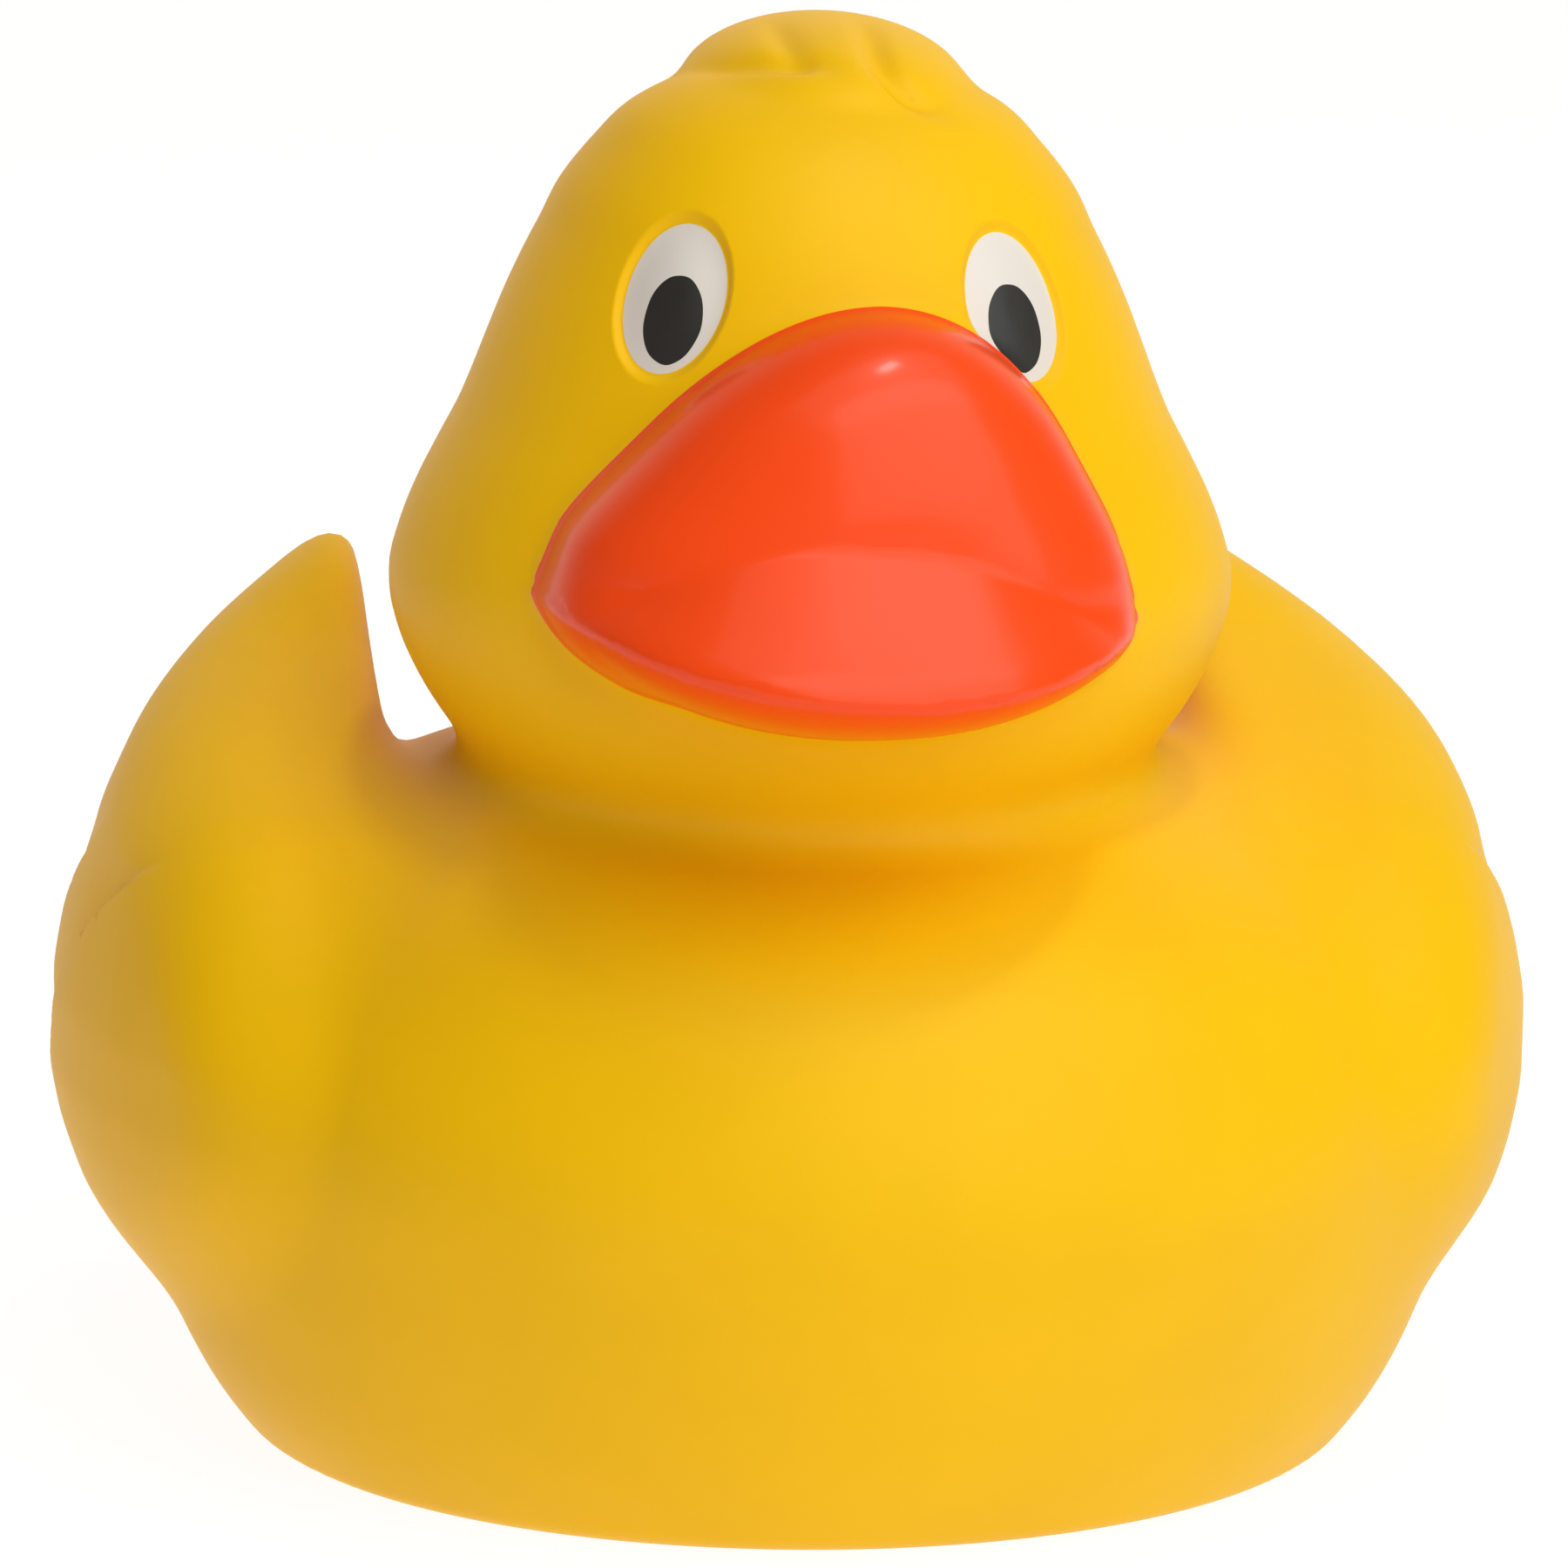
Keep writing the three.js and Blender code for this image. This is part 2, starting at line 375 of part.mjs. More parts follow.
// ---- fewer triangles, the flattest places first -------------------------------------------
function simplify({ pos, faces }, target) {
  const P = pos.map((p) => p.slice()),
    Q = P.map(() => new Float64Array(10)),
    around = P.map(() => new Set()),
    alive = faces.map(() => true);
  const normal = (a, b, c) => {
    const u = [b[0] - a[0], b[1] - a[1], b[2] - a[2]],
      v = [c[0] - a[0], c[1] - a[1], c[2] - a[2]];
    return [u[1] * v[2] - u[2] * v[1], u[2] * v[0] - u[0] * v[2], u[0] * v[1] - u[1] * v[0]];
  };
  faces.forEach((t, i) => {
    const m = normal(P[t[0]], P[t[1]], P[t[2]]),
      l = Math.hypot(...m) || 1e-12,
      [a, b, c] = m.map((q) => q / l),
      d = -(a * P[t[0]][0] + b * P[t[0]][1] + c * P[t[0]][2]),
      w = l / 2,
      q = [a * a, a * b, a * c, a * d, b * b, b * c, b * d, c * c, c * d, d * d];
    for (const v of t) {
      around[v].add(i);
      for (let k = 0; k < 10; k++) Q[v][k] += w * q[k];
    }
  });
  const cost = (q, [x, y, z]) => q[0] * x * x + 2 * q[1] * x * y + 2 * q[2] * x * z + 2 * q[3] * x + q[4] * y * y + 2 * q[5] * y * z + 2 * q[6] * y + q[7] * z * z + 2 * q[8] * z + q[9];
  const stamp = new Int32Array(P.length);
  const heap = [];
  const up = (i) => {
    while (i) {
      const p = (i - 1) >> 1;
      if (heap[p][0] <= heap[i][0]) break;
      [heap[p], heap[i]] = [heap[i], heap[p]];
      i = p;
    }
  };
  const push = (e) => {
    heap.push(e);
    up(heap.length - 1);
  };
  const pop = () => {
    const top = heap[0],
      last = heap.pop();
    if (heap.length) {
      heap[0] = last;
      let i = 0;
      for (;;) {
        let c = 2 * i + 1;
        if (c >= heap.length) break;
        if (c + 1 < heap.length && heap[c + 1][0] < heap[c][0]) c++;
        if (heap[i][0] <= heap[c][0]) break;
        [heap[i], heap[c]] = [heap[c], heap[i]];
        i = c;
      }
    }
    return top;
  };
  const offer = (a, b) => {
    const q = new Float64Array(10);
    for (let k = 0; k < 10; k++) q[k] = Q[a][k] + Q[b][k];
    const mid = P[a].map((c, k) => (c + P[b][k]) / 2),
      len = Math.hypot(P[a][0] - P[b][0], P[a][1] - P[b][1], P[a][2] - P[b][2]);
    // best point of the summed quadric, if it is well placed
    const det = q[0] * (q[4] * q[7] - q[5] * q[5]) - q[1] * (q[1] * q[7] - q[5] * q[2]) + q[2] * (q[1] * q[5] - q[4] * q[2]);
    let best = mid,
      c = cost(q, mid);
    const tr = q[0] + q[4] + q[7];
    if (Math.abs(det) > 1e-5 * tr * tr * tr) {
      const r = [-q[3], -q[6], -q[8]],
        x = (r[0] * (q[4] * q[7] - q[5] * q[5]) - q[1] * (r[1] * q[7] - q[5] * r[2]) + q[2] * (r[1] * q[5] - q[4] * r[2])) / det,
        y = (q[0] * (r[1] * q[7] - r[2] * q[5]) - r[0] * (q[1] * q[7] - q[5] * q[2]) + q[2] * (q[1] * r[2] - r[1] * q[2])) / det,
        z = (q[0] * (q[4] * r[2] - q[5] * r[1]) - q[1] * (q[1] * r[2] - r[1] * q[2]) + r[0] * (q[1] * q[5] - q[4] * q[2])) / det;
      if (Math.hypot(x - mid[0], y - mid[1], z - mid[2]) < len) {
        best = [x, y, z];
        c = cost(q, best);
      }
    }
    push([Math.max(c, 0) + 2e-5 * len * len * len, a, b, stamp[a], stamp[b], best]);
  };
  const seen = new Set();
  for (const t of faces)
    for (let i = 0; i < 3; i++) {
      const a = Math.min(t[i], t[(i + 1) % 3]),
        b = Math.max(t[i], t[(i + 1) % 3]),
        key = a * P.length + b;
      if (!seen.has(key)) {
        seen.add(key);
        offer(a, b);
      }
    }
  let count = faces.length;
  while (count > target && heap.length) {
    const [, a, b, sa, sb, best] = pop();
    if (sa !== stamp[a] || sb !== stamp[b]) continue;
    const near = (v) => {
      const s = new Set();
      for (const f of around[v]) for (const w of faces[f]) if (w !== v) s.add(w);
      return s;
    };
    const na = near(a),
      nb = near(b);
    let common = 0;
    for (const v of na) if (nb.has(v)) common++;
    if (common !== 2 || na.size + nb.size - 4 > 14) continue;
    let ok = true;
    for (const [v, other] of [[a, b], [b, a]])
      for (const f of around[v]) {
        const t = faces[f];
        if (t.includes(other)) continue;
        const before = normal(P[t[0]], P[t[1]], P[t[2]]),
          pts = t.map((w) => (w === v ? best : P[w])),
          after = normal(...pts),
          lb = Math.hypot(...before),
          la = Math.hypot(...after),
          dot = before[0] * after[0] + before[1] * after[1] + before[2] * after[2],
          e = Math.max(...[0, 1, 2].map((i) => Math.hypot(pts[i][0] - pts[(i + 1) % 3][0], pts[i][1] - pts[(i + 1) % 3][1], pts[i][2] - pts[(i + 1) % 3][2])));
        if (dot < 0.6 * lb * la || la < 0.09 * e * e) {
          ok = false;
          break;
        }
      }
    if (!ok) continue;
    for (const f of around[b]) {
      const t = faces[f];
      if (t.includes(a)) {
        alive[f] = false;
        count--;
        for (const v of t) if (v !== b) around[v].delete(f);
      } else {
        t[t.indexOf(b)] = a;
        around[a].add(f);
      }
    }
    around[b].clear();
    P[a] = best;
    for (let k = 0; k < 10; k++) Q[a][k] += Q[b][k];
    stamp[a]++;
    stamp[b] = -1;
    for (const v of near(a)) offer(a, v);
  }
  return { pos: P, faces: faces.filter((t, i) => alive[i]) };
}

// ---- closed bodies ------------------------------------------------------------------------
const wasm = await Module();
wasm.setup();
function solid({ pos, faces }) {
  const index = new Map(),
    verts = [],
    tri = [];
  for (const t of faces)
    for (const v of t) {
      if (!index.has(v)) {
        index.set(v, verts.length / 3);
        verts.push(...pos[v]);
      }
      tri.push(index.get(v));
    }
  return new wasm.Manifold(new wasm.Mesh({ numProp: 3, vertProperties: new Float32Array(verts), triVerts: new Uint32Array(tri) }));
}
function fromThree(geometry) {
  const g = geometry.index ? geometry.toNonIndexed() : geometry,
    p = g.getAttribute("position").array,
    index = new Map(),
    verts = [],
    tri = [];
  for (let i = 0; i < p.length; i += 3) {
    const key = [p[i], p[i + 1], p[i + 2]].map((c) => Math.round(c * 1e4)).join();
    if (!index.has(key)) {
      index.set(key, verts.length / 3);
      verts.push(p[i], p[i + 1], p[i + 2]);
    }
    tri.push(index.get(key));
  }
  const keep = [];
  for (let i = 0; i < tri.length; i += 3) if (tri[i] !== tri[i + 1] && tri[i + 1] !== tri[i + 2] && tri[i] !== tri[i + 2]) keep.push(tri[i], tri[i + 1], tri[i + 2]);
  return new wasm.Manifold(new wasm.Mesh({ numProp: 3, vertProperties: new Float32Array(verts), triVerts: new Uint32Array(keep) }));
}
function toThree(made) {
  const m = made.getMesh(),
    v = new Float32Array(m.numVert * 3);
  for (let i = 0; i < m.numVert; i++) v.set(m.vertProperties.subarray(i * m.numProp, i * m.numProp + 3), i * 3);
  return new THREE.BufferGeometry().setAttribute("position", new THREE.BufferAttribute(v, 3)).setIndex(new THREE.BufferAttribute(new Uint32Array(m.triVerts), 1));
}
const cylinder = (r, z0, z1, sides = 48) => fromThree(new THREE.CylinderGeometry(r, r, z1 - z0, sides).rotateX(Math.PI / 2).translate(0, 0, (z0 + z1) / 2));
const biggest = (made) => made.decompose().sort((a, b) => b.volume() - a.volume())[0];

const LO = [-43, -46, 0],
  HI = [43, 58, 84];
let shell = solid(simplify(surface(outer, CELL, LO, HI), SKIN_TRIANGLES));
shell = biggest(shell);
// the flat base
shell = shell.subtract(fromThree(new THREE.BoxGeometry(200, 200, 40).translate(0, 0, FLAT - 20)));
const box = shell.boundingBox(),
  cx = (box.min[0] + box.max[0]) / 2,
  cy = (box.min[1] + box.max[1]) / 2;
const cavity = biggest(solid(simplify(surface(inner, CELL_IN, LO, HI), CAVITY_TRIANGLES)));
shell = shell.subtract(cavity).translate([-cx, -cy, -FLAT]);
shell = shell.subtract(cylinder(VENT_R, -5, FLOOR + 6));
const squeaker = cylinder(SQUEAKER_R, SQUEAKER_RECESS, SQUEAKER_RECESS + SQUEAKER_T).subtract(cylinder(SQUEAKER_BORE, -2, 6, 24));

const group = new THREE.Group();
const add = (name, made, color) => {
  const mesh = new THREE.Mesh(toThree(made), new THREE.MeshStandardMaterial({ color }));
  mesh.name = name;
  group.add(mesh);
};
add("duck_shell", shell, 0xf2b90f);
add("squeaker", squeaker, 0xf0efe8);
export default group;
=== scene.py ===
import math

import bpy
import numpy as np
from mathutils import Matrix, Vector


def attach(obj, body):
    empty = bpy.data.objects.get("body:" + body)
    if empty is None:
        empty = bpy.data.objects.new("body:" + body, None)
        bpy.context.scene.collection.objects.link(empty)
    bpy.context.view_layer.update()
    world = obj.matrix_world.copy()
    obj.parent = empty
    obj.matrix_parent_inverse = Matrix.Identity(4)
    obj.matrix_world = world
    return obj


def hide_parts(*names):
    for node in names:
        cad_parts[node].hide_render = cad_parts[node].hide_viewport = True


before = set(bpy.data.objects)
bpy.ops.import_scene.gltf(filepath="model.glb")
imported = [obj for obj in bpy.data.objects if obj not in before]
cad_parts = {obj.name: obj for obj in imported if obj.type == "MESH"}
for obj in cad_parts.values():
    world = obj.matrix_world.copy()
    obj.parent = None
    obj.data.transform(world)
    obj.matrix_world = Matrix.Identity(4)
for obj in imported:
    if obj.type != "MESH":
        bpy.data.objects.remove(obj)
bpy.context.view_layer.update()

# ------------------------------------------------------------------ shape tables (mm, same as the CAD part)
BASE = 3.6
FLAT = BASE + 0.34
HEAD = dict(x=-0.4, y=-7.5, z=55.0, up=22.3, down=22.0)
HEAD_W = [(28, 24.5), (36, 23.2), (40.4, 22.8), (42.3, 22.7), (44.4, 22.8), (46.5, 22.85), (48.6, 22.75), (50.7, 22.35), (52.6, 21.6), (54.85, 20.6), (57.1, 19.55), (59.35, 18.65), (61.6, 18.2), (63.85, 18.0), (66.1, 17.95), (68.35, 18.05), (70.6, 18.7), (72.84, 19.4), (75.1, 21.3), (78.2, 23.5)]
HEAD_FRONT = [(28, 23), (38, 22.3), (44, 21.5), (50, 20.4), (56, 19.0), (61, 18.2), (66, 18.0), (70, 18.7), (75, 20.3), (78.2, 21.5)]
HEAD_BACK = [(28, 23), (38, 23), (44, 22.5), (50, 21.6), (56, 20.6), (61, 20), (66, 19.6), (70, 19.8), (75, 21), (78.2, 22)]
BODY = dict(z=21.0, up=22.3, down=32.0, saddle=2.0)
BODY_W = [(2, 33.4), (5, 34.3), (7.1, 34.7), (9.2, 34.9), (11.4, 35.1), (16, 35.7), (21, 36.3), (30, 36.8), (44, 37)]
BODY_FRONT = [(3.9, 35.0), (8, 35.8), (14, 36.8), (21, 38.0), (28, 38.8), (36, 41.0), (45, 41.0)]
BODY_REAR = [(3.9, 37.0), (10, 39.5), (21, 41.0), (30, 41), (45, 39)]
BODY_Y = [(3.9, -4.0), (9, -3.2), (14, -1.6), (20, 0.0), (45, 0.0)]
WING_OUTLINE = [(-12.5, 37.2), (-19.5, 32), (-23, 26), (-22.5, 20.5), (-17, 15.5), (-6, 12.6), (6, 12.6), (15, 16), (21.5, 22), (25.0, 29), (26.2, 37), (24.4, 45.2), (21.2, 48.7), (17.0, 47.6), (9, 44.2), (-2, 40.9)]
WING_W = [(6, 33.0), (10, 34.7), (11.8, 35.6), (14.7, 36.9), (17.5, 38.1), (20.4, 39.0), (23.2, 39.4), (26.1, 39.4), (28.9, 39.0), (31.8, 38.2), (34.6, 37.1), (37.4, 35.9), (40.3, 34.5), (43.1, 32.7), (46, 30.3), (50, 27.0), (54, 24)]
WING = dict(bow=0.0125, y=2.0, inner=21.5, round=5.0, left=0.9)
FEATHER = [(10, 1.0), (14, 2.6), (18, 3.4), (22, 3.0), (25, 1.5), (28.5, -1.0), (30.5, -3.0), (34, -7.3), (37, -11.5), (42, -19)]
FEATHER_ROWS, FEATHER_STEP = (0.0, 9.0, 17.0), 0.6
TAIL = dict(y=30.0, z=25.0, rise=math.radians(38), tip=26.0, root=22.0)
BILL = dict(x=-0.9, y=-19.0, z=56.0, tilt=math.radians(2.6), lean=0.12)
BILL_TOP = dict(y=-23.2, z=54.0, front=8.7, back=14.0, power=2.4)
BILL_RIM = [(-40, 12.6), (0, 12.6), (20, 12.3), (40, 12.0), (58, 12.1), (72, 12.7), (84, 13.9), (95, 14.9), (112, 14.2), (135, 10.8), (160, 7.6), (180, 6.8), (220, 6.8)]
SHELF = dict(z=49.5, rise=2.2, w=15.3, front=17.9, back=12.0, power=2.3, slope=25.0, bend=1.08, cap=0.3, down=4.4)
TUFT = dict(x=0.35, y=-4.0, z=75.0, rx=7.5, ry=11.0, rz=4.0)
GROOVES = [[(-1.2, 4.0), (-2.2, -2.0), (-2.45, -6.2), (-2.1, -10.6), (-1.0, -12.3), (1.0, -13.6)], [(2.6, 4.0), (2.2, -2.0), (2.0, -8.0), (2.1, -12.0), (3.4, -13.8), (6.2, -14.4)], [(-8.2, -2.0), (-7.0, -5.0), (-5.4, -8.8), (-2.6, -11.4), (-1.0, -12.2)]]
GROOVE_DEPTH, GROOVE_W = (0.38, 0.6, 0.4), 0.8
EYE = dict(x=8.9, y=-20.3, z=66.65, n=(0.51, -0.767, 0.39), a=2.85, b=3.95, depth=0.36, shift=-0.5)
PUPIL = dict(u=-0.3, v=-1.15, a=1.62, b=2.3)
VENT_R, VENT_DEPTH = 5.0, 3.0
CELL = 0.62


# ------------------------------------------------------------------ helpers
def smin(a, b, k):
    h = np.maximum(k - np.abs(a - b), 0.0) / k
    return np.minimum(a, b) - h * h * k * 0.25


def smax(a, b, k):
    return -smin(-a, -b, k)


def step(a, b, t):
    u = np.clip((t - a) / (b - a), 0, 1)
    return u * u * (3 - 2 * u)


def curve(table, blur=0):
    xs = np.array([p[0] for p in table], float)
    ys = np.array([p[1] for p in table], float)
    n = len(xs)
    d = (ys[1:] - ys[:-1]) / (xs[1:] - xs[:-1])
    m = np.zeros(n)
    m[0], m[-1] = d[0], d[-1]
    for i in range(1, n - 1):
        m[i] = 0.0 if d[i - 1] * d[i] <= 0 else 2 * d[i - 1] * d[i] / (d[i - 1] + d[i])
    # dense table for speed
    g = np.linspace(xs[0], xs[-1], 2001)
    i = np.clip(np.searchsorted(xs, g, side="right") - 1, 0, n - 2)
    h = xs[i + 1] - xs[i]
    u = (g - xs[i]) / h
    v = (1 + 2 * u) * (1 - u) ** 2 * ys[i] + u * (1 - u) ** 2 * h * m[i] + u * u * (3 - 2 * u) * ys[i + 1] + u * u * (u - 1) * h * m[i + 1]
    if blur:
        w = np.ones(blur) / blur
        for _ in range(3):
            v = np.convolve(np.pad(v, blur // 2, mode="edge"), w, mode="valid")[: len(g)]
    return lambda t: np.interp(t, g, v)


def loop(points):
    p = np.array(points, float)
    n, out = len(p), []
    for i in range(n):
        p0, p1, p2, p3 = p[(i - 1) % n], p[i], p[(i + 1) % n], p[(i + 2) % n]
        for j in range(4):
            t = j / 4
            out.append(0.5 * (2 * p1 + (p2 - p0) * t + (2 * p0 - 5 * p1 + 4 * p2 - p3) * t * t + (-p0 + 3 * p1 - 3 * p2 + p3) * t**3))
    return np.array(out)


def outline(points):
    def f(y, z):
        d, s = np.full(y.shape, 1e9), np.ones(y.shape)
        for i in range(len(points)):
            (ax, ay), (bx, by) = points[i], points[i - 1]
            ex, ey, wx, wy = bx - ax, by - ay, y - ax, z - ay
            t = np.clip((wx * ex + wy * ey) / (ex * ex + ey * ey), 0, 1)
            qx, qy = wx - ex * t, wy - ey * t
            d = np.minimum(d, qx * qx + qy * qy)
            c1, c2, c3 = z >= ay, z < by, ex * wy > ey * wx
            s = np.where((c1 & c2 & c3) | (~c1 & ~c2 & ~c3), -s, s)
        return s * np.sqrt(d)

    return f


def even(g, h=0.05):
    def f(x, y, z):
        g0 = g(x, y, z)
        gx, gy, gz = (g(x + h, y, z) - g0) / h, (g(x, y + h, z) - g0) / h, (g(x, y, z + h) - g0) / h
        return g0 / np.sqrt(gx * gx + gy * gy + gz * gz + 1e-6)

    return f


# ------------------------------------------------------------------ shapes
head_w, head_f, head_b = curve(HEAD_W), curve(HEAD_FRONT), curve(HEAD_BACK)
body_w, body_f, body_r, body_y = curve(BODY_W), curve(BODY_FRONT), curve(BODY_REAR), curve(BODY_Y)
wing_outline, wing_w, feather = outline(loop(WING_OUTLINE)), curve(WING_W), curve(FEATHER)
bill_rim = curve(BILL_RIM, 101)


def g_head(x, y, z):
    Z = (z - HEAD["z"]) / np.where(z > HEAD["z"], HEAD["up"], HEAD["down"])
    Y = y - HEAD["y"]
    return np.sqrt(((x - HEAD["x"]) / head_w(z)) ** 2 + (Y / np.where(Y < 0, head_f(z), head_b(z))) ** 2 + Z * Z + 1e-9) - 1


def g_body(x, y, z):
    up = BODY["up"] - BODY["saddle"] * step(-8.0, 20.0, y)
    Z = (z - BODY["z"]) / np.where(z > BODY["z"], up, BODY["down"])
    yc = body_y(z)
    L = np.where(y < yc, body_f(z) + yc, body_r(z) - yc)
    return np.sqrt((x / body_w(z)) ** 2 + ((y - yc) / L) ** 2 + Z * Z + 1e-9) - 1


def wing(x, y, z):
    ax = np.abs(x)
    o = (ax - (wing_w(z) + np.where(x > 0, WING["left"], 0.0) * step(34, 44, z) - WING["bow"] * (y - WING["y"]) ** 2)) * 0.93
    s = y - feather(z)
    for row in FEATHER_ROWS:
        t = s - row * (1 + 0.02 * (z - 25))
        o = o + FEATHER_STEP * step(36.5, 33.0, z) * step(-0.4, 0.4, t) * np.exp(-np.maximum(t, 0) / 5)
    return smax(smax(wing_outline(y, z), o, WING["round"]), WING["inner"] - ax, 3.0)


def g_tail(x, y, z):
    c, n = math.cos(TAIL["rise"]), math.sin(TAIL["rise"])
    s = (y - TAIL["y"]) * c + (z - TAIL["z"]) * n
    q = -(y - TAIL["y"]) * n + (z - TAIL["z"]) * c
    q = q - 0.006 * s * np.abs(s)
    L = np.where(s > 0, TAIL["tip"], TAIL["root"])
    rq, rx = np.clip(9 - 0.16 * s, 3, 14), np.clip(13 - 0.14 * s, 6, 20)
    return np.sqrt((s / L) ** 2 + (q / rq) ** 2 + (x / rx) ** 2 + 1e-9) - 1


def head_frame(x, z):
    c, n = math.cos(BILL["tilt"]), math.sin(BILL["tilt"])
    X, Z = x - BILL["x"], z - BILL["z"]
    return X * c - Z * n, BILL["z"] + X * n + Z * c


def g_bill_top(x, y, z):
    t = BILL_TOP
    X, Z = head_frame(x, z)
    X, Z = X - BILL["lean"] * np.maximum(Z - 55, 0), Z - t["z"]
    R = np.sqrt(X * X + Z * Z + 0.01)
    q = R / bill_rim(np.degrees(np.arctan2(np.sqrt(X * X + 0.3) - 0.5, Z)))
    Y = (y - t["y"]) / np.where(y < t["y"], t["front"], t["back"])
    p = t["power"]
    return (q**p + np.abs(Y) ** p + 1e-9) ** (1 / p) - 1


def g_shelf(x, y, z):
    t = SHELF
    X, Z = head_frame(x, z)
    Y = (y - BILL["y"]) / np.where(y < BILL["y"], t["front"], t["back"])
    p = t["power"]
    q = (np.abs(X / t["w"]) ** p + np.abs(Y) ** p + 1e-9) ** (1 / p)
    rim = t["z"] + t["rise"] * (X / 15) ** 2
    low = np.sqrt(q * q + (np.minimum(Z - rim, 0) / t["down"]) ** 2) - 1
    over = (Z - rim - t["slope"] * np.clip(1 - q, 0, t["cap"]) ** t["bend"]) / 15.0
    return smax(low, over, 0.06)


head, body, tail, bill_top, shelf = even(g_head), even(g_body), even(g_tail), even(g_bill_top), even(g_shelf)


def bill(x, y, z):
    X, _ = head_frame(x, z)
    return smin(bill_top(x, y, z), shelf(x, y, z), 0.2 + 1.2 * step(10.5, 14.5, np.abs(X)))


def bend(points):
    """A smooth open line through the points."""
    p = np.array([points[0]] + list(points) + [points[-1]], float)
    out = []
    for i in range(1, len(p) - 2):
        for j in range(4):
            t = j / 4
            out.append(tuple(0.5 * (2 * p[i] + (p[i + 1] - p[i - 1]) * t + (2 * p[i - 1] - 5 * p[i] + 4 * p[i + 1] - p[i + 2]) * t * t + (-p[i - 1] + 3 * p[i] - 3 * p[i + 1] + p[i + 2]) * t**3)))
    return out + [tuple(p[-1])]


def groove(x, y, line, width):
    best, along = np.full(x.shape, 1e9), np.zeros(x.shape)
    n = len(line) - 1
    for i in range(n):
        (ax, ay), (bx, by) = line[i], line[i + 1]
        ex, ey = bx - ax, by - ay
        t = np.clip(((x - ax) * ex + (y - ay) * ey) / (ex * ex + ey * ey), 0, 1)
        q = (x - ax - ex * t) ** 2 + (y - ay - ey * t) ** 2
        along = np.where(q < best, (i + t) / n, along)
        best = np.minimum(best, q)
    return np.exp(-best / (width * width)) * step(0.15, 0.6, along) * step(1.0, 0.7, along)


def g_tuft(x, y, z):
    t = TUFT
    return np.sqrt(((x - t["x"]) / t["rx"]) ** 2 + ((y - t["y"]) / t["ry"]) ** 2 + ((z - t["z"]) / t["rz"]) ** 2 + 1e-9) - 1


cap = even(g_tuft)


EYE_N = np.array(EYE["n"]) / np.linalg.norm(EYE["n"])
EYE_T = np.cross([0, 0, 1.0], EYE_N)
EYE_T /= np.linalg.norm(EYE_T)
EYE_B = np.cross(EYE_N, EYE_T)


def eye_uvw(x, y, z):
    X, Z = head_frame(x, z)
    px, py, pz = np.abs(X - EYE["shift"]) - EYE["x"], y - EYE["y"], Z - EYE["z"]
    return tuple(px * a[0] + py * a[1] + pz * a[2] for a in (EYE_T, EYE_B, EYE_N))


def eyes(x, y, z):
    u, v, w = eye_uvw(x, y, z)
    r = np.sqrt((u / EYE["a"]) ** 2 + (v / EYE["b"]) ** 2)
    return EYE["depth"] * step(1.18, 1.0, r) * (0.25 + 0.75 * step(0.2, 1.0, r)) * step(6, 3.5, np.abs(w))


def without_bill(x, y, z):
    d = smin(body(x, y, z), tail(x, y, z), 9.0)
    d = smin(d, wing(x, y, z), 2.6)
    d = smin(d, head(x, y, z) + eyes(x, y, z), 3.0)
    d = smin(d, cap(x, y, z), 0.9)
    near = step(70.0, 74.0, z)
    for line, depth in zip(GROOVE_LINES, GROOVE_DEPTH):
        d = d + depth * near * groove(x, y, line, GROOVE_W)
    return d


GROOVE_LINES = [bend(line) for line in GROOVES]
MID = [0.0, 0.0]  # bounding box centre in plan, set once the skin is known


def skin(x, y, z):
    d = smin(without_bill(x, y, z), bill(x, y, z), 0.8)
    d = smax(d, FLAT - z, 1.0)
    hole = np.maximum(np.hypot(x - MID[0], y - MID[1]) - VENT_R, z - FLAT - VENT_DEPTH)
    return smax(d, -hole, 0.5)


# ------------------------------------------------------------------ surface of a field
def evaluate(f, p, n=200000):
    return np.concatenate([f(*p[i : i + n].T) for i in range(0, len(p), n)])


